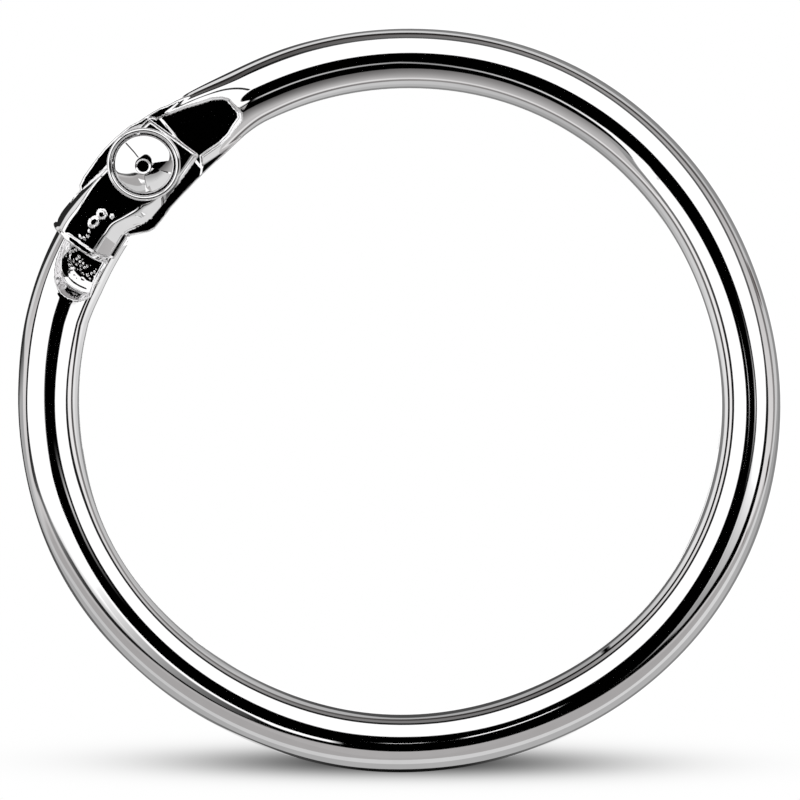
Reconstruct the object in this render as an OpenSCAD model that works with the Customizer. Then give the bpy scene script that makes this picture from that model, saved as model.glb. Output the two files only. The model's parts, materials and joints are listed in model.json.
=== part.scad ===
// Hinged binder ring: two half rings of plated steel tube on a riveted hinge, closed by a snap pin.
// It lies flat as it does on a desk. +Z is the ring's axis, the rivet's domed head is on top, and
// the origin is the ring's centre on the desk. One half swings outwards about the rivet.

/* [Ring] */
// Clear diameter inside the closed ring
inner_d = 38; // [30:1:60]
// Outer diameter of the tube that the halves are made of
tube_d = 3.6; // [3.4:0.1:4.2]
// Wall of the tube
wall = 0.5; // [0.4:0.05:0.6]

/* [Hinge] */
// Direction of the hinge from the ring's centre, in degrees
hinge_angle = 135.4; // [100:0.2:160]
// How far the rivet stands outside the middle line of the tube
rivet_out = 0.1; // [0:0.05:0.4]
// How far the tongue and the ears lean off the ring's tangent at the rivet, in degrees
hinge_lean = 2.2; // [0:0.2:4]
// Thickness of the tongue, two tube walls pressed together
tongue_t = 1.1; // [0.9:0.05:1.3]
// Width of the tongue, wider than the tube because it is pressed flat
tongue_w = 5.3; // [4.6:0.1:5.6]
// How far the tongue's middle line lies inside the rivet
tongue_in = 0.4; // [0.1:0.1:0.6]
// Distance from the rivet to the tongue's round end
tongue_reach = 4.7; // [4:0.1:4.9]
// Distance from the rivet to where the tongue starts to narrow towards the tube
flare_start = 1; // [0.4:0.1:2]
// Distance from the rivet to where the tongue is as wide as the tube
flare_end = 6; // [5:0.1:7]
// Length along the tube of the scoops pressed in between tongue and tube
tongue_scoop_l = 7; // [6:0.1:8]
// Width of the two ears of the clevis
ear_w = 3.9; // [3.6:0.1:4.2]
// How far the ears' middle line lies inside the rivet
ear_in = 0.25; // [0:0.05:0.4]
// Distance from the rivet to the cut end of the ears
ear_reach = 2.45; // [2.2:0.05:2.8]
// How far the ears lean off the tongue's direction, in degrees
ear_lean = 3; // [0:0.5:5]
// Slant of the ears' cut end and of the lip, in degrees
ear_slant = 5; // [0:1:10]
// Distance from the rivet to the near edge of the raised lip behind the ears
lip_reach = 5.8; // [5.3:0.05:6.5]
// Width of the raised lip
lip_w = 0.4; // [0.3:0.05:0.8]
// How far the flat on each ear lies below the tube's top at the lip
lip_drop = 0.2; // [0.1:0.05:0.3]
// Distance from the rivet at which the flat starts to fall towards the rivet's collar
ramp_start = 3.8; // [3:0.1:4.5]
// Length along the tube of the scoops pressed in behind the lip, to the rivet
ear_scoop_l = 8.9; // [8:0.1:10]
// Width of the scoops behind the lip
ear_scoop_w = 3; // [2.4:0.1:3.2]
// How far the scoops behind the lip lie outside the middle line of the tube
ear_scoop_out = 0.2; // [0:0.05:0.3]
// Depth of the scoops behind the lip, below the tube's top
ear_scoop_depth = 0.8; // [0.5:0.05:0.9]

/* [Rivet] */
// Diameter of the rivet's shank
shank_d = 2; // [1.6:0.1:2.4]
// Diameter of the rivet's domed head
dome_d = 3.7; // [3:0.1:4]
// Diameter of the collar under the dome
collar_d = 4.5; // [4.1:0.1:4.8]
// Thickness of the collar
collar_t = 0.35; // [0.25:0.05:0.5]
// Diameter of the closed head on the back
back_head_d = 3.4; // [2.8:0.1:3.6]

/* [Snap joint] */
// Direction of the snap joint from the ring's centre, in degrees
joint_angle = -50.6; // [-65:0.1:-35]
// Diameter of the snap pin where it leaves the tube
pin_d = 2.2; // [1.8:0.05:2.25]
// Diameter of the snap pin's nose
nose_d = 1.6; // [1.2:0.05:1.7]
// Length of the snap pin outside its tube
pin_l = 2.4; // [1.6:0.1:2.6]
// Length of the snap pin inside its tube
pin_seat_l = 4; // [3:0.1:6]
// How far the snap bead stands out of the pin
bead_h = 0.08; // [0.04:0.01:0.1]
// Distance of the snap bead from the joint
bead_at = 0.9; // [0.7:0.05:1.2]
// Length of the catch window along the tube
window_l = 0.4; // [0.3:0.05:0.6]
// Width of the catch window
window_w = 0.2; // [0.15:0.05:0.3]
// Height of the catch window above the ring's plane, in degrees round the tube
window_up = 31; // [0:1:45]

/* [Fits] */
// Clearance between the tongue and each ear, and between the closed tube ends
face_gap = 0.05; // [0.02:0.01:0.08]
// Radial clearance of the rivet in the tongue
rivet_gap = 0.05; // [0.02:0.01:0.08]
// Radial overlap of what is pressed or riveted in
press = 0.01; // [0.005:0.005:0.02]
// Clearance of the ears past the tube, and of the tongue's end in its slot, as they swing
swing_gap = 0.15; // [0.1:0.05:0.25]

/* [Hidden] */
$fn = 96;

tube_r = tube_d / 2;
bore_r = tube_r - wall;
mid_r = inner_d / 2 + tube_r;
hinge_r = mid_r + rivet_out;
lean_angle = hinge_angle - 90 + hinge_lean;
shank_r = shank_d / 2;
// Levels above the ring's middle plane
tongue_top = tongue_t / 2;
slot_top = tongue_top + face_gap;
ear_top = slot_top + wall;
lip_top = tube_r - lip_drop;
scoop_floor = tube_r - ear_scoop_depth;
// Distance from the rivet to the middle of the tongue's round end
tongue_back = tongue_reach - tongue_w / 2;
// Radius about the rivet that the tongue's end needs in its slot
root_r = norm([tongue_back, tongue_in]) + tongue_w / 2 + swing_gap;
// Radii about the rivet that the ears' outer and inner corners need as they swing
ear_outside = ear_w / 2 - ear_in;
ear_inside = ear_w / 2 + ear_in;
outer_corner_r = norm([ear_reach, ear_outside]) + swing_gap;
inner_corner_r = norm([ear_reach + ear_inside * tan(ear_slant), ear_inside]) + swing_gap;
// A cutter's height and reach, past every surface of the hinge
past = 2 * tube_d;
outline_steps = 24;

function arc_deg(length) = length / mid_r * 180 / PI;
// A point at a distance along the tube from the hinge, and a distance outside its middle line
function on_tube(along, out) = let (a = hinge_angle - arc_deg(along))
    (mid_r + out) * [cos(a), sin(a)];
// A point in the hinge's own frame, x towards the upper half and y outwards
function by_hinge(x, y) = hinge_r * [cos(hinge_angle), sin(hinge_angle)]
    + x * [cos(lean_angle), sin(lean_angle)] + y * [-sin(lean_angle), cos(lean_angle)];

module at_hinge() translate([0, 0, tube_r]) translate(by_hinge(0, 0)) rotate(lean_angle) children();

// What is above and what is below the middle plane
module both_faces() for (flip = [0, 1]) mirror([0, 0, flip]) children();

// A round bar that follows the ring's middle line
module bar(r, from, to) translate([0, 0, tube_r]) rotate(from) rotate_extrude(angle = to - from, $fn = 360)
    translate([mid_r, 0]) circle(r);

// A half oval on the tube, its flat end at one distance from the hinge and its tip at another
module scoop(flat_end, tip, width, out, floor) translate([0, 0, tube_r]) both_faces()
    translate([0, 0, floor]) linear_extrude(past) polygon([
        for (i = [0 : outline_steps])
            let (turn = -90 + 180 * i / outline_steps)
            on_tube(flat_end + (tip - flat_end) * cos(turn), out + width / 2 * sin(turn))
    ]);

// The tongue, round at its free end and narrowing to the tube at the other
module tongue_outline() {
    translate(by_hinge(-tongue_back, -tongue_in)) circle(d = tongue_w);
    tube_half = sqrt(tube_r * tube_r - tongue_top * tongue_top);
    polygon([
        by_hinge(-tongue_back, tongue_w / 2 - tongue_in),
        by_hinge(flare_start, tongue_w / 2 - tongue_in),
        on_tube(flare_end, tube_half),
        on_tube(flare_end, -tube_half),
        by_hinge(flare_start, -tongue_w / 2 - tongue_in),
        by_hinge(-tongue_back, -tongue_w / 2 - tongue_in)
    ]);
}

// What the ears sweep above and below the tongue as the ring opens
module ear_sweep() at_hinge() both_faces() translate([0, 0, tongue_top]) {
    cylinder(r = outer_corner_r, h = past);
    intersection() {
        cylinder(r = inner_corner_r, h = past);
        translate([-past, -past - ear_inside + swing_gap, 0]) cube([2 * past, past, past]);
    }
}

// The upper half: a tube whose hinge end is pressed flat into the tongue
module tongue_half() color("silver") difference() {
    union() {
        difference() {
            bar(tube_r, joint_angle + arc_deg(face_gap / 2), hinge_angle - arc_deg(ear_reach));
            bar(bore_r, joint_angle - 1, hinge_angle - arc_deg(tongue_scoop_l + wall));
        }
        translate([0, 0, tube_r]) linear_extrude(tongue_t, center = true) tongue_outline();
    }
    scoop(ear_reach, tongue_scoop_l, tube_d, 0, tongue_top);
    ear_sweep();
    at_hinge() cylinder(r = shank_r + rivet_gap, h = past, center = true);
}

// The two ears before the slot between them is cut, one straight bar
module ear_bar() at_hinge() intersection() {
    rotate(ear_lean) translate([-past - lip_reach, -ear_in, 0]) rotate([0, 90, 0])
        cylinder(d = ear_w, h = 2 * past + lip_reach);
    rotate(ear_slant) translate([-lip_reach - lip_w, -past, -tube_r])
        cube([lip_reach + lip_w + ear_reach, 2 * past, tube_d]);
}

// What is pressed away above and below the ears: level from the lip, down a ramp, level at the rivet
module ear_flats() at_hinge() rotate(ear_slant) both_faces() rotate([90, 0, 0])
    linear_extrude(2 * past, center = true) polygon([
        [-lip_reach, lip_top],
        [-ramp_start, lip_top],
        [-collar_d / 2, ear_top],
        [past, ear_top],
        [past, past],
        [-lip_reach, past]
    ]);

// A small window through the tube's inner wall beside the joint, where the bead shows and catches
module catch_window() rotate(joint_angle - arc_deg(bead_at)) translate([mid_r, 0, tube_r])
    rotate([0, window_up, 0]) translate([-tube_r, 0, 0]) cube([3 * wall, window_l, window_w], center = true);

// The lower half: a tube whose hinge end is slit into two ears, and whose other end is the mouth
module clevis_half() color("silver") difference() {
    union() {
        difference() {
            bar(tube_r, hinge_angle + arc_deg(root_r - wall), 360 + joint_angle - arc_deg(face_gap / 2));
            bar(bore_r, hinge_angle + arc_deg(ear_scoop_l + wall), 361 + joint_angle);
            scoop(-lip_reach, -ear_scoop_l, ear_scoop_w, ear_scoop_out, scoop_floor);
        }
        ear_bar();
    }
    ear_flats();
    at_hinge() cylinder(r = root_r, h = 2 * slot_top, center = true);
    at_hinge() cylinder(r = shank_r - press, h = past, center = true);
    catch_window();
}

// One domed rivet, closed on the back over the lower ear
module hinge_rivet() color("gainsboro") at_hinge() {
    cylinder(r = shank_r, h = 2 * ear_top, center = true);
    translate([0, 0, ear_top]) cylinder(d = collar_d, h = collar_t);
    translate([0, 0, ear_top + collar_t]) intersection() {
        sphere(d = dome_d);
        cylinder(d = collar_d, h = dome_d);
    }
    translate([0, 0, -tube_r]) cylinder(d = back_head_d, h = tube_r - ear_top);
}

// The pin pressed into the upper half's tube: a curved seat, a tapered nose and a snap bead
module snap_pin() color("gainsboro") {
    bar(bore_r + press, joint_angle + arc_deg(face_gap / 2), joint_angle + arc_deg(pin_seat_l));
    rotate(joint_angle + arc_deg(face_gap / 2)) translate([mid_r, 0, tube_r]) rotate([90, 0, 0]) {
        cylinder(d1 = pin_d, d2 = nose_d, h = pin_l);
        translate([0, 0, bead_at]) rotate_extrude() translate([pin_d / 2 - bead_h, 0]) circle(2 * bead_h);
    }
}

clevis_half();
tongue_half();
hinge_rivet();
snap_pin();
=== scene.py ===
import json
import math
import bpy
import numpy as np
from mathutils import Matrix

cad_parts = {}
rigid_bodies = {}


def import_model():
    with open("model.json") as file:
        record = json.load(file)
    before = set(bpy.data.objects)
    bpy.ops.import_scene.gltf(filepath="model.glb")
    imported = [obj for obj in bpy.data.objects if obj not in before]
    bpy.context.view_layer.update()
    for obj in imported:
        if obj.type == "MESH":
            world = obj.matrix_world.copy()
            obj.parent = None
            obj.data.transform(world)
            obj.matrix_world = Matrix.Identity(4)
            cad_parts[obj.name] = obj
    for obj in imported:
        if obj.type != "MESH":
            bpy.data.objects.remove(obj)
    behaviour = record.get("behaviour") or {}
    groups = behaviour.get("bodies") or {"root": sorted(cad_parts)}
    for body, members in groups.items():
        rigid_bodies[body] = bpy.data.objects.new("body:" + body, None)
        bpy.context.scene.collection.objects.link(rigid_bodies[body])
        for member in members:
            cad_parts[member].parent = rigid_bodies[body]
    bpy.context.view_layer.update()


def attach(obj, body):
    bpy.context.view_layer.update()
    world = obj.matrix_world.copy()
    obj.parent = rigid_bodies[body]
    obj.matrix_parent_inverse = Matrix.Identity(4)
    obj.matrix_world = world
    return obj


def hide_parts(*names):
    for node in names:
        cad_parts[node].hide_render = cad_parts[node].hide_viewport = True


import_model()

# Everything below is worked out in millimetres, in the part's own frame but with z = 0 in the
# ring's middle plane, and turned into metres when a mesh is made.
MM = 0.001
MID_R = 20.8                    # the ring's middle line
TUBE_R = 1.8
BORE_R = 1.3
MID_Z = 1.8                     # height of the middle plane over the desk
HINGE_A = math.radians(135.4)   # the hinge's direction and distance from the ring's centre
HINGE_R = 20.9
HINGE_X, HINGE_Y = HINGE_R * math.cos(HINGE_A), HINGE_R * math.sin(HINGE_A)
LEAN = math.radians(47.6)       # how the hinge's own X axis is turned from the ring's
TONGUE_END = 186.0              # degrees from the hinge to the joint, the tongue's way
CLEVIS_END = 174.0              # and the clevis's way
JOINT_LAP = 0.004               # how far each half runs past the joint's plane
PHOTO_SIZE = 800.0              # pixels
SENSOR = 36.0


# ---------------------------------------------------------------- camera

def look():
    """Make the fitted camera: its axes, and where its eye is from the ring's middle."""
    e, a = math.radians(13.07), math.radians(0.5578)        # tilt towards the viewer, and sideways
    dist, focal, u0, v0 = 253.4, 4286.0, 400.05, 406.31     # mm, and pixels of the photo
    zc = np.array([math.sin(a) * math.cos(e), math.sin(e), math.cos(a) * math.cos(e)])
    xc = np.cross([0.0, 1.0, 0.0], zc)
    xc /= np.linalg.norm(xc)
    yc = np.cross(zc, xc)
    where = zc * dist + np.array([0.0, 0.0, MID_Z])
    data = bpy.data.cameras.new("camera")
    data.sensor_width = SENSOR
    data.lens = focal / PHOTO_SIZE * SENSOR
    data.shift_x = -(u0 - PHOTO_SIZE / 2) / PHOTO_SIZE
    data.shift_y = (v0 - PHOTO_SIZE / 2) / PHOTO_SIZE
    data.clip_start, data.clip_end = 0.01, 5.0
    cam = bpy.data.objects.new("camera", data)
    m = np.eye(4)
    m[:3, 0], m[:3, 1], m[:3, 2], m[:3, 3] = xc, yc, zc, where * MM
    cam.matrix_world = Matrix(m.tolist())
    bpy.context.scene.collection.objects.link(cam)
    bpy.context.scene.camera = cam
    return xc, yc, zc, zc * dist


XC, YC, ZC, EYE = look()


# ---------------------------------------------------------------- small helpers

def smin(a, b, k):
    """The lesser of two fields, with a blend k wide where they meet."""
    h = np.maximum(k - np.abs(a - b), 0.0) / k
    return np.minimum(a, b) - h * h * k * 0.25


def smax(a, b, k):
    """The greater of two fields, blended the same way."""
    return -smin(-a, -b, k)


def ramp(a, b, x):
    """0 at a, 1 at b, and smooth between them. b may be less than a."""
    t = np.clip((x - a) / (b - a), 0.0, 1.0)
    return t * t * (3.0 - 2.0 * t)


def through(keys, x, period=None):
    """A smooth curve through a few (x, y) keys."""
    kx = np.array([k[0] for k in keys], float)
    ky = np.array([k[1] for k in keys], float)
    if period:
        kx = np.concatenate([kx[-2:] - period, kx, kx[:2] + period])
        ky = np.concatenate([ky[-2:], ky, ky[:2]])
        x = np.mod(x, period)
    m = np.gradient(ky, kx)
    i = np.clip(np.searchsorted(kx, x) - 1, 0, len(kx) - 2)
    h = kx[i + 1] - kx[i]
    t = np.clip((x - kx[i]) / h, 0.0, 1.0)
    return ((2 * t**3 - 3 * t**2 + 1) * ky[i] + (t**3 - 2 * t**2 + t) * h * m[i]
            + (3 * t**2 - 2 * t**3) * ky[i + 1] + (t**3 - t**2) * h * m[i + 1])


def polygon_distance(px, py, verts):
    """Signed distance to a closed outline, negative inside."""
    v = np.array(verts, float)
    d = np.full(px.shape, 1e9)
    s = np.ones(px.shape)
    for i in range(len(v)):
        a, b = v[i], v[i - 1]
        ex, ey = b - a
        wx, wy = px - a[0], py - a[1]
        t = np.clip((wx * ex + wy * ey) / (ex * ex + ey * ey), 0.0, 1.0)
        d = np.minimum(d, (wx - ex * t) ** 2 + (wy - ey * t) ** 2)
        c1, c2, c3 = py >= a[1], py < b[1], ex * wy > ey * wx
        s = np.where((c1 & c2 & c3) | (~c1 & ~c2 & ~c3), -s, s)
    return s * np.sqrt(d)


# ---------------------------------------------------------------- the ring's own frame

# How far the real ring's line lies inside a true circle, by direction in degrees, in mm, as
# measured from the photo
WAVE = [(0, .03), (20, .11), (40, -.04), (68, -.18), (90, .005), (104, .14), (118, .24), (130, .02),
        (145, .0), (158, -.03), (172, .0), (188, .0), (205, -.1), (225, -.02), (245, .06),
        (262, .02), (290, .03), (308, -.08), (328, -.11), (345, -.03)]


def straighten(x, y):
    """Move a point of the real ring's wavy line onto the true circle."""
    r = np.hypot(x, y)
    k = 1.0 + through(WAVE, np.degrees(np.arctan2(y, x)), 360.0) / r
    return x * k, y * k


def from_tube(s, q):
    """The point s along the tube from the hinge and q outside its middle line."""
    a = HINGE_A - s / MID_R
    return (MID_R + q) * np.cos(a), (MID_R + q) * np.sin(a)


def to_tube(x, y, turn):
    """Distance along the tube from the hinge, and outside its line. turn is the side, +1 or -1."""
    a = HINGE_A - np.arctan2(y, x)
    a = np.mod(a * turn + 0.5, 2 * math.pi) - 0.5
    return a * turn * MID_R, np.hypot(x, y) - MID_R


def to_hinge(x, y):
    """The hinge's own axes: X along the tube towards the tongue, Y outwards, from the rivet."""
    dx, dy = x - HINGE_X, y - HINGE_Y
    c, s = math.cos(LEAN), math.sin(LEAN)
    return dx * c + dy * s, dy * c - dx * s


def turned(X, Y, deg):
    """The same point in axes turned by deg."""
    c, s = math.cos(math.radians(deg)), math.sin(math.radians(deg))
    return X * c + Y * s, Y * c - X * s


# ---------------------------------------------------------------- shapes, as distance fields

def oval(u, w, v, h):
    """About the distance to an ellipse of half widths w and h."""
    e = np.hypot(u / w, v / h)
    g = np.hypot(u / (w * w), v / (h * h)) / np.maximum(e, 1e-6)
    return (e - 1.0) / np.maximum(g, 0.2)


def pressed(body, az, outline, floor, wall_deg, rim, foot):
    """A scoop pressed into a body: a floor inside an outline, and a wall that leans outwards."""
    b = math.radians(wall_deg)
    cut = smax(floor - az, outline * math.sin(b) - (az - 0.5) * math.cos(b), foot)
    return smax(body, -cut, rim)


# Outlines in the hinge's own axes, in mm, read off the enlarged photo
TONGUE = [(5.2, .5), (4.5, .95), (4.0, 1.16), (3.4, 1.34), (3.0, 1.53), (2.3, 1.72), (1.6, 1.86),
          (1.0, 2.08), (0, 2.22), (-1.0, 2.27), (-2.0, 2.2), (-3.0, 2.08), (-3.6, 1.9),
          (-4.35, 1.0), (-4.7, -.1), (-4.55, -1.0), (-3.8, -2.3), (-3.4, -2.6), (-2.95, -2.92),
          (-2.5, -3.07), (-1.9, -3.05), (-1.0, -2.95), (1.0, -2.96), (3.5, -3.0), (5.0, -3.0)]
SCOOP = [(0, 1.2), (2.15, 1.2), (2.7, 1.06), (3.5, .73), (4.1, .48), (4.9, .05), (5.5, -.25),
         (5.95, -.65), (6.08, -.92), (6.0, -1.38), (5.95, -1.78), (5.75, -2.02), (5.2, -2.1),
         (4.6, -2.25), (3.9, -2.26), (3.2, -2.15), (2.45, -2.05), (0, -2.05)]
BOWL = [(-5.9, .42), (-7.0, .14), (-7.6, -.05), (-8.2, -.45), (-8.6, -.95), (-8.75, -1.45),
        (-8.68, -2.1), (-8.42, -2.6), (-8.1, -2.74), (-7.5, -2.5), (-6.5, -2.24), (-5.9, -2.12)]


def tongue_half(x, y, z, end=True):
    """The half with the flat tongue, a scoop on each face and its rivet hole."""
    x, y = straighten(x, y)
    X, Y = to_hinge(x, y)
    s, q = to_tube(x, y, 1)
    az = np.abs(z)
    t = ramp(7.8, 2.4, s)
    tube = smax(oval(q + 0.37 * t, TUBE_R + 0.37 * t, z, TUBE_R - 0.75 * t), 2.35 - s, 0.08)
    flat = smax(polygon_distance(X, Y, TONGUE), az - 0.55, 0.14)
    body = smin(tube, flat, 0.12)
    r = np.hypot(X, Y)
    valley = np.minimum(polygon_distance(X, Y, SCOOP), np.minimum(r - 2.6,
            np.maximum(r - 3.25, Y + 1.2)))
    body = pressed(body, az, valley - 0.04, 0.55, 79.0, 0.11, 0.1)
    if end:
        body = np.maximum(body, s - math.radians(TONGUE_END) * MID_R - JOINT_LAP)
    return smax(body, 1.05 - r, 0.05)


# The raised marks on the ears: x, y, half width, half height and rise
DOTS = [(-3.8, -.12, .3, .33, .1), (-4.42, -.08, .42, .3, .09), (-5.56, -.2, .09, .26, .05),
        (-5.28, -.36, .09, .09, .03), (-4.98, -.26, .08, .08, .03), (-3.52, -.66, .14, .12, .05)]


def dots(X, Y):
    """Small raised marks that the press left on the ears' top."""
    out = 0.0
    for x0, y0, wide, tall, rise in DOTS:
        out = np.maximum(out, rise * ramp(1.0, 0.45, np.hypot((X - x0) / wide, (Y - y0) / tall)))
    return out


def ears(X, Y, z):
    """Both ears before the slot is cut: rolled over outside, level on top, chamfered inside."""
    az = np.abs(z)
    top = 1.6 - 0.5 * ramp(-4.7, -1.9, X) + dots(X, Y)
    yt = through([(-6.2, -1.33), (-5.6, -1.24), (-4.6, -1.08), (-3.85, -1.0), (-3.05, -1.28),
                  (-2.2, -1.52), (-1.6, -1.8), (0, -1.98), (1.2, -1.92), (2.4, -1.72)], X)
    ym = through([(-6.2, -2.3), (-5.6, -2.18), (-4.6, -1.98), (-3.9, -1.88), (-3.2, -2.1),
                  (-2.4, -2.36), (-1.5, -2.42), (-.5, -2.34), (.5, -2.28), (1.2, -2.2),
                  (2.4, -2.02)], X)
    yb = through([(-6.2, -2.32), (-5.6, -2.2), (-4.6, -2.02), (-3.9, -1.98), (-3.2, -2.3),
                  (-2.4, -2.6), (-1.5, -2.6), (-.5, -2.48), (.5, -2.4), (1.2, -2.3), (2.4, -2.1)],
                 X)
    dy, dz = yt - ym, np.minimum(0.52, (top - 0.62) * 0.75)
    length = np.hypot(dy, dz)
    chamfer = ((az - top) * dy - (Y - yt) * dz) / length
    d2y, d2z = ym - yb, top - dz - 0.55
    length = np.hypot(d2y, d2z)
    wall = ((az - top + dz) * d2y - (Y - ym) * d2z) / length
    limb = through([(-6.2, 1.42), (-5.5, 1.6), (-4.5, 1.7), (-4.0, 1.72), (-3.0, 1.7), (-2.0, 1.62),
                    (-1.0, 1.62), (0, 1.66), (1.2, 1.7), (2.4, 1.62)], X)
    outside = oval(np.maximum(Y - limb + 1.9, 0.0), 1.9, z, 2.2)
    body = smax(smax(chamfer, wall, 0.1), outside, 0.08)
    return smax(body, az - top, 0.1)


def clevis_half(x, y, z, end=True):
    """The half with the two ears, the pressed bowl and lip behind them, the slot and the bore."""
    x, y = straighten(x, y)
    X, Y = to_hinge(x, y)
    s, q = to_tube(x, y, -1)
    az = np.abs(z)
    g = ramp(-15.0, -11.0, s)
    w = 0.5 * np.interp(s, [-10.6, -9.5, -8.5, -7.5, -6.0, -4.6], [0, .1, .2, .24, .28, .31])
    tube = smax(oval(q + w - 0.03 * g, TUBE_R + 0.04 * g + w, z, TUBE_R), s + 4.1, 0.3)
    tube = smax(tube, az - 0.95 - 1.5 * ramp(-5.8, -6.15, s), 0.1)
    far = X - through([(-2.95, -8.25), (-2.7, -8.52), (-2.2, -8.75), (-1.4, -8.85), (-.9, -8.72),
                       (-.4, -8.35), (.05, -7.7), (.55, -6.3)], np.clip(Y, -2.95, .55))
    floor = through([(0, 1.8), (.22, 1.35), (.5, .88), (.9, .67), (1.3, .51), (1.8, .46), (4, .46)],
                    np.clip(far, 0, 4))
    rough = (np.sin(17 * X + 9 * Y + 2.4 * np.sin(5 * Y))
             * np.sin(11 * Y - 6 * X + 2.2 * np.sin(4.3 * X + 1)))
    floor = floor + 0.03 * np.maximum(rough - .2, 0) * ramp(.9, 1.3, far) * ramp(2.3, 1.9, far)
    tube = pressed(tube, az, polygon_distance(X, Y, BOWL) - 0.08, floor, 83.0, 0.1, 0.08)
    Xs, Ys = turned(X, Y, 6.0)
    Xr, Yr = turned(X, Y, 3.0)
    bar = smax(smax(ears(X, Y, z), Xs - 2.24, 0.12), -6.0 - Xs, 0.08)
    lip = smax(np.hypot(Yr + 0.12, z) - 1.95, np.abs(Xs + 6.05) - 0.2, 0.14)
    lip = smax(lip, az - 1.78, 0.1)
    body = smin(smin(tube, bar, 0.06), lip, 0.06)
    slot = np.maximum(np.hypot(X, Y) - 4.889, az - 0.6)
    body = smax(body, -slot, 0.06)
    bore = np.maximum(np.hypot(q, z) - BORE_R, math.radians(CLEVIS_END) * MID_R - 7.0 + s)
    body = np.maximum(body, -bore)
    if end:
        body = np.maximum(body, -s - math.radians(CLEVIS_END) * MID_R - JOINT_LAP)
    return smax(body, 1.0 - np.hypot(X, Y), 0.05)


# ---------------------------------------------------------------- meshing a distance field

def gradient(f, p, h):
    """A field's slope at each point, by differences of h."""
    g = np.empty_like(p)
    for k in range(3):
        a, b = p.copy(), p.copy()
        a[:, k] += h
        b[:, k] -= h
        g[:, k] = (f(*a.T) - f(*b.T)) / (2 * h)
    return g


def surface_net(f, gs, gq, gz):
    """Quads on the zero level of f over a grid that follows the tube."""
    shape = (len(gs), len(gq), len(gz))
    F = np.empty(shape, np.float32)
    for i0 in range(0, shape[0], 24):
        S, Q, Z = np.meshgrid(gs[i0:i0 + 24], gq, gz, indexing="ij")
        x, y = from_tube(S, Q)
        F[i0:i0 + 24] = f(x, y, Z)
    inside = F < 0
    cells = tuple(n - 1 for n in shape)
    n_in = np.zeros(cells, np.int8)
    for a in (0, 1):
        for b in (0, 1):
            for c in (0, 1):
                n_in += inside[a:cells[0] + a, b:cells[1] + b, c:cells[2] + c]
    active = (n_in > 0) & (n_in < 8)
    index = np.full(cells, -1, np.int64)
    count = int(active.sum())
    index[active] = np.arange(count)
    grids = (gs, gq, gz)
    total = np.zeros((count, 3))
    hits = np.zeros(count)
    quads = []
    for ax in range(3):
        lo = [slice(None)] * 3
        hi = [slice(None)] * 3
        lo[ax], hi[ax] = slice(0, -1), slice(1, None)
        a_in, b_in = inside[tuple(lo)], inside[tuple(hi)]
        ijk = np.array(np.nonzero(a_in != b_in))
        fa = F[tuple(lo)][tuple(ijk)].astype(float)
        fb = F[tuple(hi)][tuple(ijk)].astype(float)
        starts_inside = a_in[tuple(ijk)]
        t = fa / (fa - fb)
        pos = np.stack([grids[k][ijk[k]] for k in range(3)], 1)
        pos[:, ax] += t * (grids[ax][ijk[ax] + 1] - grids[ax][ijk[ax]])
        o1, o2 = [k for k in range(3) if k != ax]
        corner = []
        ok = np.ones(ijk.shape[1], bool)
        for d1, d2 in ((1, 1), (0, 1), (0, 0), (1, 0)):
            c = ijk.copy()
            c[o1] -= d1
            c[o2] -= d2
            good = (c[o1] >= 0) & (c[o2] >= 0) & (c[o1] < cells[o1]) & (c[o2] < cells[o2])
            ok &= good
            v = np.full(ijk.shape[1], -1)
            v[good] = index[tuple(c[:, good])]
            corner.append(v)
            for k in range(3):
                total[:, k] += np.bincount(v[good], weights=pos[good, k], minlength=count)
            hits += np.bincount(v[good], minlength=count)
        q = np.stack(corner, 1)[ok]
        # seen from outside the quad runs anticlockwise; the middle axis turns the other way
        flip = starts_inside[ok] == (ax == 1)
        q[flip] = q[flip][:, ::-1]
        quads.append(q)
    local = total / hits[:, None]
    x, y = from_tube(local[:, 0], local[:, 1])
    p = np.stack([x, y, local[:, 2]], 1)
    # only the outermost layer knows the joint's end plane, so that it can't bend the tube beside it
    layer = np.nonzero(active)[0]
    last = (layer == 0) | (layer == cells[0] - 1)

    def level(x, y, z):
        d = f(x, y, z, end=False)
        d[last] = f(x[last], y[last], z[last])
        return d

    for _ in range(3):
        g = gradient(level, p, 0.004)
        d = level(*p.T)
        step = g * (d / np.maximum((g * g).sum(1), 0.05))[:, None]
        n = np.linalg.norm(step, axis=1, keepdims=True)
        p -= step * np.minimum(1.0, 0.05 / np.maximum(n, 1e-9))
    g = gradient(level, p, 0.012)
    return p, np.concatenate(quads), g / np.maximum(np.linalg.norm(g, axis=1, keepdims=True), 1e-9)


def make_mesh(name, p, quads, normals=None):
    """A mesh object from points in mm and faces that all have as many corners."""
    me = bpy.data.meshes.new(name)
    v = np.array(p, np.float32) * MM
    v[:, 2] += MID_Z * MM
    me.vertices.add(len(v))
    me.vertices.foreach_set("co", v.ravel())
    n = quads.shape[1]
    me.loops.add(quads.size)
    me.loops.foreach_set("vertex_index", quads.astype(np.int32).ravel())
    me.polygons.add(len(quads))
    me.polygons.foreach_set("loop_start", np.arange(0, quads.size, n, dtype=np.int32))
    me.polygons.foreach_set("use_smooth", np.ones(len(quads), bool))
    me.update(calc_edges=True)
    me.validate()
    if normals is not None:
        me.normals_split_custom_set_from_vertices(normals.astype(np.float32))
    ob = bpy.data.objects.new(name, me)
    bpy.context.scene.collection.objects.link(ob)
    return ob


def stations(*runs):
    """Grid stations from (start, end, step) runs."""
    out = []
    for a, b, step in runs:
        n = max(1, int(round(abs(b - a) / step)))
        out += list(a + (b - a) * np.arange(n) / n)
    out.append(runs[-1][1])
    return np.array(out)


# ---------------------------------------------------------------- materials

def node_material(name):
    """An empty node material, its nodes and its links."""
    m = bpy.data.materials.new(name)
    m.use_nodes = True
    m.node_tree.nodes.clear()
    return m, m.node_tree.nodes, m.node_tree.links


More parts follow.
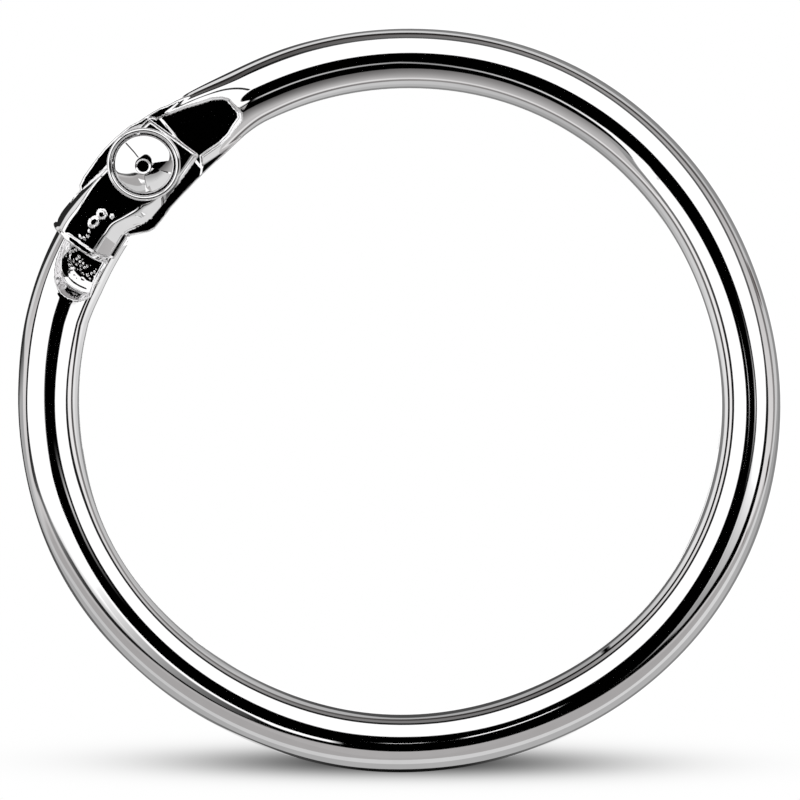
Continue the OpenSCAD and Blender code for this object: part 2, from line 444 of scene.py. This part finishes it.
def chrome(name, tint, rough, scale):
    """Bright plating: nearly a mirror, with faint haze and a little orange peel."""
    m, nodes, links = node_material(name)
    out = nodes.new("ShaderNodeOutputMaterial")
    sh = nodes.new("ShaderNodeBsdfPrincipled")
    sh.inputs["Metallic"].default_value = 1.0
    links.new(sh.outputs[0], out.inputs[0])
    tc = nodes.new("ShaderNodeTexCoord")
    haze = nodes.new("ShaderNodeTexNoise")
    haze.inputs["Scale"].default_value = scale
    haze.inputs["Detail"].default_value = 4.0
    links.new(tc.outputs["Object"], haze.inputs["Vector"])
    rr = nodes.new("ShaderNodeMapRange")
    rr.inputs["From Min"].default_value, rr.inputs["From Max"].default_value = 0.3, 0.75
    rr.inputs["To Min"].default_value, rr.inputs["To Max"].default_value = rough * 0.6, rough * 1.6
    links.new(haze.outputs["Fac"], rr.inputs["Value"])
    links.new(rr.outputs[0], sh.inputs["Roughness"])
    cr = nodes.new("ShaderNodeValToRGB")
    cr.color_ramp.elements[0].position, cr.color_ramp.elements[1].position = 0.35, 0.7
    cr.color_ramp.elements[0].color = (*[c * 0.965 for c in tint], 1)
    cr.color_ramp.elements[1].color = (*tint, 1)
    links.new(haze.outputs["Fac"], cr.inputs[0])
    links.new(cr.outputs[0], sh.inputs["Base Color"])
    return m


# ---------------------------------------------------------------- studio

# The light around the ring is drawn as a ball would show it: rho is the distance from the ball's
# centre and deg the direction, both seen from the camera's side. The cards are laid out for the
# one camera place.
# The keys below are no example to follow. The bands' edges, and side_card's, are numbers that
# scratch scripts printed when they measured where the photo's reflections change tone. The tones,
# 1 for white as displayed, are a few for each band, thinned and rounded from greys of the photo.

def shade(keys, deg):
    """A tone that changes evenly between a few (direction, tone) keys."""
    k = np.array(keys, float)
    return np.interp(deg, k[:, 0], k[:, 1], period=360.0)


def mix(col, mask, tone, warm=0.0):
    """Lay a tone over col where mask is 1. A warm tone leans to pink."""
    tone = np.asarray(tone, float)
    c = np.stack([np.clip(tone + k * warm, 0, 2) for k in (0.022, -0.008, -0.014)], -1)
    return col * (1 - mask[..., None]) + c * mask[..., None]


def polar(d):
    """Directions as places on the ball: rho from its centre, and the angle in degrees."""
    ca = np.clip(d @ ZC, -1.0, 1.0)
    return np.sqrt((1.0 - ca) / 2.0), np.degrees(np.arctan2(d @ YC, d @ XC)) % 360.0


def light(tone):
    """Tone as displayed to emission, with white a little above full."""
    return np.clip(tone, 0, 1) ** 2.2 * 1.05 + 0.12 * ramp(0.97, 1.0, tone)


def grey_light(tone):
    """The same light in all three colours, one row for each tone."""
    return np.repeat(light(tone.reshape(-1))[:, None], 3, 1)


def band(rho, a, b, soft=0.006):
    """1 between two edges."""
    return ramp(a - soft, a + soft, rho) * ramp(b + soft, b - soft, rho)


# deg, rho, half sizes both ways, and tone, fitted to the photo
FLECKS = [(324, .62, .8, .022, .5), (338, .702, 2.2, .024, .2), (10.5, .775, 3.2, .024, .35)]


def outside(d):
    """What the outer half sees: softboxes round the lens, a seam, cloth, another seam, paper."""
    rho, deg = polar(d)
    col = np.ones(rho.shape + (3,))
    left = deg - np.interp(rho, [.25, .312, .407, .45, .5, .6], [261, 251, 242, 238, 234, 228])
    clear = rho - np.interp(deg, [205, 214, 225, 242, 251, 261], [.66, .56, .45, .35, .305, .255])
    right = deg - np.interp(rho, [.26, .29, .35, .4, .47, .53], [280, 286, 295, 301, 306, 309])
    near = np.where(deg < 267, np.interp(left, [-18, 9], [1, .6]),
                    np.interp(right, [0, 17], [.6, 1]))
    col = mix(col, np.where(deg < 267, ramp(-.01, .035, clear), ramp(.262, .285, rho)) * (deg > 205)
              * (deg < 345), near)
    seam_a = through([(0, .523), (25, .55), (51, .572), (77, .565), (103, .576), (128, .57),
                      (150, .61), (168, .668), (184, .66), (196, .69), (204, .672), (214, .58),
                      (229, .455), (242, .4), (253, .34), (261, .284), (270, .25), (278, .285),
                      (283, .302), (287, .323), (293, .365), (301, .396), (313, .449), (324, .475),
                      (336, .481), (347, .504)], deg, 360.0)
    seam_b = through([(2, .576), (27, .605), (52, .626), (77, .62), (103, .634), (118, .64),
                      (128, .61), (150, .66), (172, .7), (184, .715), (194, .74), (201, .763),
                      (207, .69), (217, .605), (228, .525), (239, .468), (249, .393), (256, .355),
                      (262, .312), (267, .277), (272, .303), (278, .326), (286, .364), (296, .423),
                      (306, .473), (318, .548), (326, .558), (337, .55), (349, .552)], deg, 360.0)
    cloth = shade([(0, .8), (60, .55), (128, .3), (185, .85), (240, .7), (285, .65), (325, .9)],
                  deg)
    col = mix(col, ramp(-.006, .006, rho - seam_b), cloth, .25)
    fold = through([(200, .8), (214, .67), (226, .578), (237, .514), (246, .448), (256, .41),
                    (268, .5), (280, .42), (289, .415), (299, .476), (309, .52), (322, .598),
                    (334, .67), (346, .72)], np.clip(deg, 200, 346))
    col = mix(col, ramp(-.02, .02, rho - fold) * ramp(204, 212, deg) * ramp(346, 338, deg), .65,
              .25)
    line = through([(340, .695), (352, .694), (360, .694), (372, .70), (385, .69), (420, .692),
                    (450, .694), (476, .72), (488, .68), (505, .66)],
                   np.where(deg < 180, deg + 360, np.maximum(deg, 340)))
    shine = through([(0, .752), (10, .752), (20, .752), (43, .745), (66, .739), (90, .758),
                     (113, .775), (126, .744), (150, .72), (165, .80), (185, .84), (203, .82),
                     (212, .79), (221, .714), (230, .691), (239, .661), (247, .648), (258, .62),
                     (269, .56), (282, .6), (298, .634), (312, .64), (326, .692), (340, .735)], deg,
                    360.0)
    tone = shade([(15, .4), (60, .2), (130, .15), (150, .4), (334, .6)], deg)
    col = mix(col, band(rho, line, shine) * (np.abs(deg - 243) > 91), tone, .3)
    bright = shade([(30, .75), (145, .9), (200, .75), (320, .85)], deg)
    fade = through([(0, .837), (22, .806), (60, .81), (78, .808), (95, .825), (112, .846),
                    (123, .836), (148, .83), (160, .86), (167, .91), (175, .90), (183, .83),
                    (206, .881), (218, .804), (229, .774), (240, .745), (252, .75), (269, .70),
                    (284, .715), (300, .716), (318, .749), (349, .80)], deg, 360.0)
    col = mix(col, band(rho, shine, fade + .05), bright)
    edge = shade([(0, .6), (100, .5), (125, .15), (175, .2), (185, .65), (320, .7)], deg)
    col = mix(col, ramp(-.008, .008, rho - fade), edge)
    rim = through([(0, .855), (22, .85), (60, .86), (123, .86), (170, .91), (184, .945),
                   (196, .945), (210, .91), (233, .915), (250, .885), (262, .895), (270, .875),
                   (280, .895), (300, .88), (332, .882), (350, .855)], deg, 360.0)
    tone = shade([(5, .55), (100, .45), (125, .15), (185, .2), (240, .5), (265, .1), (277, .1),
                  (290, .5)], deg)
    col = mix(col, ramp(-.008, .008, rho - rim), tone)
    tone = shade([(0, .35), (100, .35), (120, .1), (195, .1), (215, .5), (240, .1), (255, 0),
                  (325, 0)], deg)
    col = mix(col, band(rho, seam_a, seam_b), tone)
    # the dark lens, and the dark gap under it
    lens = through([(15, .149), (37, .127), (64, .114), (95, .107), (126, .107), (157, .12),
                    (190, .17), (215, .22), (233, .25), (252, .25), (262, .27), (278, .275),
                    (285, .264), (292, .263), (303, .265), (310, .254), (320, .242), (330, .221),
                    (340, .194), (358, .174)], deg, 360.0)
    col = mix(col, ramp(.008, -.008, rho - lens), .02)
    col = mix(col, ramp(.006, -.006, rho - seam_b) * ramp(255, 259, deg) * ramp(281, 277, deg), .02)
    # a short seam over the hinge, that the dome finds
    u, v = rho * np.cos(np.radians(deg)), rho * np.sin(np.radians(deg))
    w = np.clip(((u + .17) * -.24 + (v - .05) * .26) / (.24 ** 2 + .26 ** 2), 0, 1)
    col = mix(col, ramp(.017, .008, np.hypot(u + .17 + .24 * w, v - .05 - .26 * w)), .1)
    # flecks along the cloth's edge
    for at, across, wide, deep, tone in FLECKS:
        off = np.hypot((np.mod(deg - at + 180, 360) - 180) / wide, (rho - across) / deep)
        col = mix(col, ramp(1.3, .7, off), tone, .8)
    limb = through([(4, .92), (36, .915), (58, .929), (79, .896), (101, .896), (111, .92),
                    (122, .904), (140, .95), (151, .99), (165, 1.01), (215, 1.01), (226, .975),
                    (240, .98), (251, .945), (256, 1.03), (283, 1.03), (289, .958), (297, .946),
                    (325, .952), (336, .96), (354, .926)], deg, 360.0)
    pale = shade([(0, 1), (238, 1), (250, .8), (285, .8), (298, 1)], deg)
    return light(mix(col, ramp(-.008, .008, rho - limb), pale))


def inside(d, psi):
    """What the ring's inner half sees across the ring, from the point at psi degrees."""
    rho, deg = polar(d)
    col = np.ones(rho.shape + (3,))
    low = (deg > 232) * ramp(320, 317, deg) * (1 - ramp(159, 163, psi))
    seam = through([(7, .7), (19, .722), (30, .703), (42, .68), (53, .642), (65, .62), (90, .609),
                    (103, .595), (128, .608), (152, .622), (175, .621), (196, .63), (210, .62),
                    (233, .618), (245, .62), (310, .66), (325, .668), (334, .647), (343, .621),
                    (354, .638)], deg, 360.0)
    # towards the near side the seam opens into a grey sweep that darkens to a black band
    sweep = shade([(232, .9), (250, .55), (280, .35), (322, .7)], deg)
    reach = through([(232, .618), (235, .606), (238, .584), (241, .548), (243, .513), (246, .468),
                     (250, .438), (253, .439), (264, .409), (268, .404), (273, .434), (279, .46),
                     (290, .45), (320, .45)], np.clip(deg, 232, 320))
    t = np.clip((rho - reach) / (.70 - reach), 0, 1)
    col = mix(col, low * ramp(-.006, .006, rho - reach), sweep + (.74 - sweep) * t ** 1.2, .2)
    cloth = shade([(8, .9), (70, .5), (125, .45), (155, .85), (200, .95), (260, .85), (337, .95)],
                  deg)
    line = through([(13, .832), (23, .836), (33, .812), (44, .798), (55, .76), (66, .738),
                    (90, .74), (113, .722), (136, .76), (147, .746), (180, .754), (200, .758),
                    (219, .748), (237, .746), (253, .748), (261, .73), (277, .759), (285, .79),
                    (294, .85), (306, .86), (322, .76), (330, .742), (340, .78), (350, .772)], deg,
                   360.0)
    col = mix(col, ramp(-.006, .006, rho - seam - .058) * (1 - low) + low
              * ramp(-.006, .006, rho - line + .045), cloth, .2)
    far = shade([(13, .85), (75, .7), (130, .65), (160, .9), (200, .9), (240, .7), (330, .95)], deg)
    col = mix(col, ramp(-.006, .006, rho - line - .05), far)
    grow = ramp(.84, .92, rho) * .05
    col = mix(col, ramp(.85, .91, rho), far - grow - .03)
    rim = through([(5, .946), (19, .96), (40, .965), (58, .93), (68, .887), (79, .87), (90, .835),
                   (101, .84), (112, .856), (122, .89), (150, .902), (186, .9), (195, .92),
                   (242, .957), (278, .954), (346, .975)], deg, 360.0)
    tone = shade([(0, .55), (50, .55), (75, .3), (120, .3), (180, .5)], deg)
    col = mix(col, ramp(-.008, .008, rho - rim), tone)
    tone = shade([(10, .15), (125, .1), (205, .1), (245, .6), (318, .4), (326, .05)], deg)
    col = mix(col, band(rho, seam, seam + .058) * (1 - low), tone)
    col = mix(col, band(rho, reach, reach + .05) * low * ramp(251, 246, deg), tone)
    tone = shade([(13, .55), (75, .35), (145, .05), (190, .1), (215, .4), (265, .55), (318, .3),
                  (330, .1)], deg)
    col = mix(col, band(rho, line, line + .05), tone, .3)
    core = through([(4, .397), (15, .371), (27, .334), (40, .286), (54, .241), (72, .217),
                    (90, .222), (113, .2), (135, .194), (150, .227), (165, .253), (180, .264),
                    (191, .286), (205, .296), (226, .306), (240, .319), (249, .334), (255, .32),
                    (260, .296), (264, .27), (268, .24), (284, .27), (290, .335), (300, .35),
                    (311, .353), (318, .331), (331, .342), (349, .381)], deg, 360.0)
    col = mix(col, ramp(.007, -.007, rho - core), .02)
    # the black band that starts as a point, with one thin bright line through it
    wedge = np.interp(psi, [0, 47.4, 47.5, 50, 53, 58, 60], [-1, -1, -.01, .02, .05, .2, 1])
    col = mix(col, ramp(.006, -.006, rho - reach) * ramp(-.006, .006, rho - reach + wedge) * low,
              .02)
    ray = np.interp(psi, [45, 50, 60, 70, 80, 90, 100, 110, 118],
                    [.365, .352, .322, .292, .26, .21, .238, .27, .285])
    ray = np.where(psi > 150, np.interp(psi, [186, 190, 200, 210, 216],
                                        [.268, .281, .321, .329, .318]), ray)
    glint = shade([(43, 0), (43.5, 1), (55, 1), (85, .6), (112, .8), (122, 0), (184, 0), (196, .8),
                   (217, 0)], psi)
    wide = np.interp(psi, [43, 46, 50, 56, 62], [.02, .06, .045, .028, .022])
    col = mix(col, ramp(.004, -.008, np.abs(rho - ray) - wide) * (glint > 0), glint)
    # a dark patch in the light stands for the catch mark, which the mesh doesn't have
    col = mix(col, ramp(.9, .5, np.abs(psi - 310.0)) * band(rho, .8, .89), .04)
    limb = through([(5, 1.03), (45, 1.02), (58, .985), (69, .963), (79, .949), (90, .936),
                    (111, .943), (121, .959), (151, .972), (182, .975), (212, .984), (222, .998),
                    (233, 1.03), (300, 1.03)], deg, 360.0)
    return light(mix(col, ramp(-.008, .008, rho - limb), 1.0))


def glow(name, ob, colours):
    """Light a stage mesh by a colour at each vertex. It casts no shadow."""
    at = ob.data.attributes.new("glow", "FLOAT_COLOR", "POINT")
    c = np.concatenate([colours, np.ones((len(colours), 1))], 1).astype(np.float32)
    at.data.foreach_set("color", c.ravel())
    m, nodes, links = node_material(name)
    out, em = nodes.new("ShaderNodeOutputMaterial"), nodes.new("ShaderNodeEmission")
    an = nodes.new("ShaderNodeAttribute")
    an.attribute_name = "glow"
    links.new(an.outputs["Color"], em.inputs["Color"])
    links.new(em.outputs[0], out.inputs[0])
    m.cycles.emission_sampling = "NONE"
    ob.data.materials.append(m)
    ob.visible_shadow = False


def net(n_a, n_b, closed):
    """Quads over an n_a by n_b grid of vertices, closed round the second way if asked."""
    i, j = np.meshgrid(np.arange(n_a - 1), np.arange(n_b if closed else n_b - 1), indexing="ij")
    k = (j + 1) % n_b
    return np.stack([i * n_b + j, i * n_b + k, (i + 1) * n_b + k, (i + 1) * n_b + j],
                    -1).reshape(-1, 4)


def tent():
    """The white surround with its painted bands, 900 mm away all round."""
    a, b = np.linspace(0, math.pi, 361), np.arange(480) / 480 * 2 * math.pi
    A, B = np.meshgrid(a, b, indexing="ij")
    d = (np.cos(A)[..., None] * ZC + (np.sin(A) * np.cos(B))[..., None] * XC
         + (np.sin(A) * np.sin(B))[..., None] * YC)
    d = d.reshape(-1, 3)
    ob = make_mesh("light_tent", d * 900.0, net(361, 480, True))
    ob.visible_camera = False
    glow("tent_light", ob, outside(d))


def seen(psi, t):
    """The ring's point at angles round and across, where it sends the lens's view, its slant."""
    n = np.stack([np.sin(t) * np.cos(psi), np.sin(t) * np.sin(psi), np.cos(t)], -1)
    p = n * TUBE_R + np.stack([MID_R * np.cos(psi), MID_R * np.sin(psi), 0 * psi], -1)
    v = EYE - p
    v /= np.linalg.norm(v, axis=-1, keepdims=True)
    nv = (n * v).sum(-1)
    return p, 2 * nv[..., None] * n - v, nv


def inner_cards():
    """A round wall of lit cards standing inside the ring, hidden from the camera. Each of its
    points takes the light that the nearest part of the ring's inner half sends to the lens."""
    n_t, n_p, r_c = 150, 720, 15.0
    psi = np.radians(np.linspace(149, 484, n_p) % 360.0)
    t = np.radians(np.linspace(4, -112, 600))

    def send(P, T):
        p, r, nv = seen(P, T)
        aa, bb = (r[..., :2] ** 2).sum(-1), (p[..., :2] * r[..., :2]).sum(-1)
        cc = (p[..., :2] ** 2).sum(-1) - r_c ** 2
        disc = bb * bb - aa * cc
        far = (-bb - np.sqrt(np.maximum(disc, 0))) / aa
        ok = (disc > 0) & (bb < 0)
        return p + r * np.where(ok, far, 0)[..., None], r, ok, nv

    hit, r, ok, nv = send(*np.meshgrid(psi, t, indexing="ij"))
    z = np.where(ok, hit[..., 2], 99.0)
    tall = np.interp(np.degrees(psi), [149, 157, 162], [5, 5, 70])
    tall = np.where(psi < math.radians(148), 70.0, tall)
    first = np.argmax(z < tall[:, None], axis=1)
    last = np.array([np.nonzero(nv[i] > 0.0)[0][-1] for i in range(n_p)])
    w = np.linspace(0, 1, n_t)[None, :]
    T = t[first][:, None] * (1 - w) + t[last][:, None] * w
    P = np.repeat(psi[:, None], n_t, 1)
    hit, r, _, _ = send(P, T)
    hit = hit.transpose(1, 0, 2).reshape(-1, 3)
    ob = make_mesh("inner_cards", hit, net(n_t, n_p, False))
    ob.visible_camera = ob.visible_diffuse = False
    glow("card_light", ob, inside(r.transpose(1, 0, 2).reshape(-1, 3), np.degrees(P.T.reshape(-1))))


def far_card():
    """The grey inner side of the wall of cards, with a dark upper edge, that the dome reflects."""
    n, r_c, z0 = 160, 14.6, 1.95        # just inside the wall of cards, and from just over the tube
    dome_z = 1.6
    psi = np.radians(np.linspace(163, 352, n))
    x, y = r_c * np.cos(psi), r_c * np.sin(psi)
    dx, dy = x - HINGE_X, y - HINGE_Y
    away, az = np.hypot(dx, dy), np.degrees(np.arctan2(dy, dx))
    rise = np.interp(az, [-97, -63, -48, -34], [50.5, 50.5, 48, 45])
    dark = np.interp(az, [-100, -70, -34], [3.5, 7, 12])
    grey_top, top = ((dome_z + away * np.tan(np.radians(a)))[:, None] for a in (rise, rise + dark))
    Z = z0 + (top - z0) * np.linspace(0, 1, n)
    wall = np.stack([np.repeat(x[:, None], n, 1), np.repeat(y[:, None], n, 1), Z], -1)
    ob = make_mesh("far_card", wall.reshape(-1, 3), net(n, n, False))
    ob.visible_camera = ob.visible_diffuse = False
    t = .86 - .22 * ramp(.45, .95, (Z - z0) / (grey_top - z0))
    t = t + (.03 - t) * ramp(-.4, .4, Z - grey_top)
    glow("far_card_light", ob, grey_light(t))


def low_card(name, psi_a, psi_b, start, end, tone):
    """A card over the ring, that only the stretch of tube under it finds: lit by tone(psi, w)."""
    height = 24.0
    psi = np.linspace(psi_a, psi_b, 64)
    w = np.linspace(0, 1, 25)[None, :]
    a, b = (np.interp(psi, *zip(*k))[:, None] for k in (start, end))
    p, r, nv = seen(np.repeat(np.radians(psi)[:, None], 25, 1), np.radians(a * (1 - w) + b * w))
    hit = p + r * ((height - p[..., 2]) / r[..., 2])[..., None]
    ob = make_mesh(name, hit.reshape(-1, 3), net(64, 25, False))
    ob.visible_camera = ob.visible_diffuse = False
    t = tone(psi[:, None], w) + 0 * (psi[:, None] + w)     # one tone for each vertex
    glow(name + "_light", ob, grey_light(t))


def low_cards():
    """Small cards for the grey by the near side, and for the thin glints in the dark core."""
    def side(psi, w):
        front = shade([(186, 1), (259, 1), (260, .3)], psi)
        back = shade([(186, 1), (210, 1), (244, .25), (247, 0), (261, 0)], psi)
        wide = np.interp(psi, [230, 244, 248, 259], [.28, .28, .55, .7])
        return front + (back - front) * ramp(-.09, .09, w - wide)

    def glint(psi_a, psi_b):
        return lambda psi, w: (ramp(0, .2, w) * ramp(1, .8, w) * ramp(psi_a, psi_a + 3, psi)
                               * ramp(psi_b, psi_b - 3, psi))

    def edge(psi, w):
        return ramp(0, .3, w) * ramp(1, .7, w) * np.interp(psi, [-13, 2, 20], [.1, .8, .1])

    # from and to, in degrees across the tube, by direction round the ring
    low_card("side_card", 190, 260.5,
             [(190, 1.4), (193, -.3), (196, -2.2), (200, -5.7), (205, -8.0), (210, -9.2),
              (220, -10.4), (230, -10.0), (240, -8.9), (250, -7.8), (260, -8.2)],
             [(190, 2.4), (196, 2.4), (200, 2.2), (205, 2.4), (210, 3.0),
              (220, 3.9), (230, 4.3), (240, 2.8), (250, .5), (260, -3.2)], side)
    low_card("near_glint", 265, 276, [(265, -18.0)], [(265, -14.6)], glint(265, 276))
    low_card("right_glint", 279, 301, [(279, -16.8), (301, -17.2)], [(279, -13.2), (301, -13.4)],
             glint(279, 301))
    low_card("edge_glint", -13, 20, [(-13, -1.2), (0, 1.2), (10, 3.0), (20, 4.8)],
             [(-13, 1.2), (0, 4.6), (10, 5.6), (20, 7.0)], edge)


def floor():
    """White paper, with a soft shadow painted on it where the ring's near edge lies at rest."""
    x = np.concatenate([[-3000.0], np.arange(-60, 60.1, 1.5), [3000.0]])
    y = np.concatenate([[-3000.0], np.arange(-26, -19, 0.15), [3000.0]])
    X, Y = np.meshgrid(x, y, indexing="ij")
    p = np.stack([X, Y, np.full(X.shape, -MID_Z - 0.03)], -1).reshape(-1, 3)
    ob = make_mesh("floor", p, net(len(x), len(y), False)[:, ::-1])
    tone = 1 - 0.75 * np.exp(-(p[:, 0] / 11.6) ** 2) * np.exp(-((p[:, 1] + 22.62) / 0.86) ** 2)
    core = ramp(-23.1, -22.7, p[:, 1]) * ramp(-21.0, -22.0, p[:, 1])
    tone *= 1 - 0.8 * np.exp(-(p[:, 0] / 3.6) ** 4) * core
    ob.visible_glossy = False
    glow("paper", ob, np.repeat((tone ** 2.2)[:, None], 3, 1))


def world():
    """Even white light, shown without a view transform."""
    w = bpy.data.worlds.new("studio")
    bpy.context.scene.world = w
    w.use_nodes = True
    bg = w.node_tree.nodes["Background"]
    bg.inputs[0].default_value = (1, 1, 1, 1)
    bg.inputs[1].default_value = 1.0
    bpy.context.scene.view_settings.view_transform = "Standard"
    bpy.context.scene.view_settings.look = "None"


# ---------------------------------------------------------------- rivet

DOME_R, DOME_Z = 1.775, 1.12    # the dome's edge


def lathe(name, profile, n=192):
    """A solid of revolution about the rivet's axis from (radius, z) points, closed at both ends."""
    pr = np.array(profile, float)
    b = np.arange(n) / n * 2 * math.pi
    rings = pr[1:-1]
    P = np.stack([HINGE_X + rings[:, :1] * np.cos(b), HINGE_Y + rings[:, :1] * np.sin(b),
                  np.repeat(rings[:, 1:], n, 1)], -1)
    poles = [[HINGE_X, HINGE_Y, pr[0, 1]], [HINGE_X, HINGE_Y, pr[-1, 1]]]
    verts = np.concatenate([P.reshape(-1, 3), poles])
    faces = []
    m = len(rings)
    for i in range(m - 1):
        for j in range(n):
            k = (j + 1) % n
            faces.append((i * n + j, i * n + k, (i + 1) * n + k, (i + 1) * n + j))
    for j in range(n):
        k = (j + 1) % n
        faces.append((m * n, k, j))
        faces.append((m * n + 1, (m - 1) * n + j, (m - 1) * n + k))
    me = bpy.data.meshes.new(name)
    verts = verts * MM
    verts[:, 2] += MID_Z * MM
    me.from_pydata(verts.tolist(), [], faces)
    me.polygons.foreach_set("use_smooth", [True] * len(faces))
    me.update()
    ob = bpy.data.objects.new(name, me)
    bpy.context.scene.collection.objects.link(ob)
    return ob


def rivet_profile():
    """Closed head on the back, shank, collar with a rolled edge, and dome with a turned centre."""
    pts = [(0, -1.8), (.3, -1.8), (1.2, -1.79), (1.55, -1.74), (1.68, -1.62), (1.7, -1.45),
           (1.7, -1.12), (1.0, -1.1), (1.0, 1.0), (2.12, 1.0), (2.15, 1.08)]
    for a in np.linspace(0, 165, 28):
        a = math.radians(a)
        pts.append((2.0 + .15 * math.cos(a), 1.2 + .15 * math.sin(a)))
    pts += [(1.83, 1.0), (1.79, 1.0)]
    r = np.linspace(DOME_R, 0, 220)
    steep = np.interp(r, [0, .33, .36, .43, .46, .54, .62, 1.0, 1.4, 1.66, 1.73, DOME_R],
                      [0, 0, -.55, -.55, .1, .24, .28, .38, .52, .62, .8, .97])
    slope = steep / np.sqrt(1 - steep ** 2)
    rise = np.concatenate([[0], np.cumsum((slope[1:] + slope[:-1]) / 2 * -np.diff(r))])
    pts += list(zip(r, DOME_Z + rise))
    return pts


# ---------------------------------------------------------------- pieces

plate = chrome("plate", (.93, .925, .93), .035, 900.0)
pin_metal = chrome("pin_metal", (.90, .90, .91), .06, 1500.0)

FINE = 0.075
# the grid's layers at the joint: 0.03 apart, then 0.004, then one pair across the end plane
NEAR_END, AT_END = 0.0306, 0.0006


def half(name, shape, along, inner, outer):
    """Mesh one half ring, from inner to outer across the tube's middle line."""
    p, quads, normals = surface_net(shape, along, stations((inner, outer, FINE)),
                                    stations((-1.95, 1.95, FINE)))
    ob = make_mesh(name, p, quads, normals)
    ob.data.materials.append(plate)
    return ob


end = math.radians(TONGUE_END) * MID_R + JOINT_LAP
along = stations((-5.4, 8.4, FINE), (8.4, 12, .2), (12, 65.5, .6), (65.5, 67.3, .15),
                 (67.3, end - NEAR_END, .03), (end - NEAR_END, end - AT_END, .004),
                 (end - AT_END, end + AT_END, .0012))
tongue = half("tongue_half_skin", tongue_half, along, -3.6, 3.3)
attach(tongue, "tongue_side")
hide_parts("tongue_half")

end = -JOINT_LAP - math.radians(CLEVIS_END) * MID_R
along = stations((3.2, -10.0, FINE), (-10.0, -14, .2), (-14, -60.5, .6), (-60.5, -62.9, .1),
                 (-62.9, end + NEAR_END, .03), (end + NEAR_END, end + AT_END, .004),
                 (end + AT_END, end - AT_END, .0012))[::-1]
clevis = half("clevis_half_skin", clevis_half, along, -2.9, 2.6)
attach(clevis, "clevis_side")
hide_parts("clevis_half")

rivet = lathe("rivet", rivet_profile())
rivet.data.materials.append(plate)
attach(rivet, "clevis_side")
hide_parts("hinge_rivet")

for ob in bpy.data.objects:
    if ob.name.startswith("snap_pin"):
        for s in ob.material_slots:
            s.material = pin_metal

tent()
inner_cards()
far_card()
low_cards()
floor()
world()
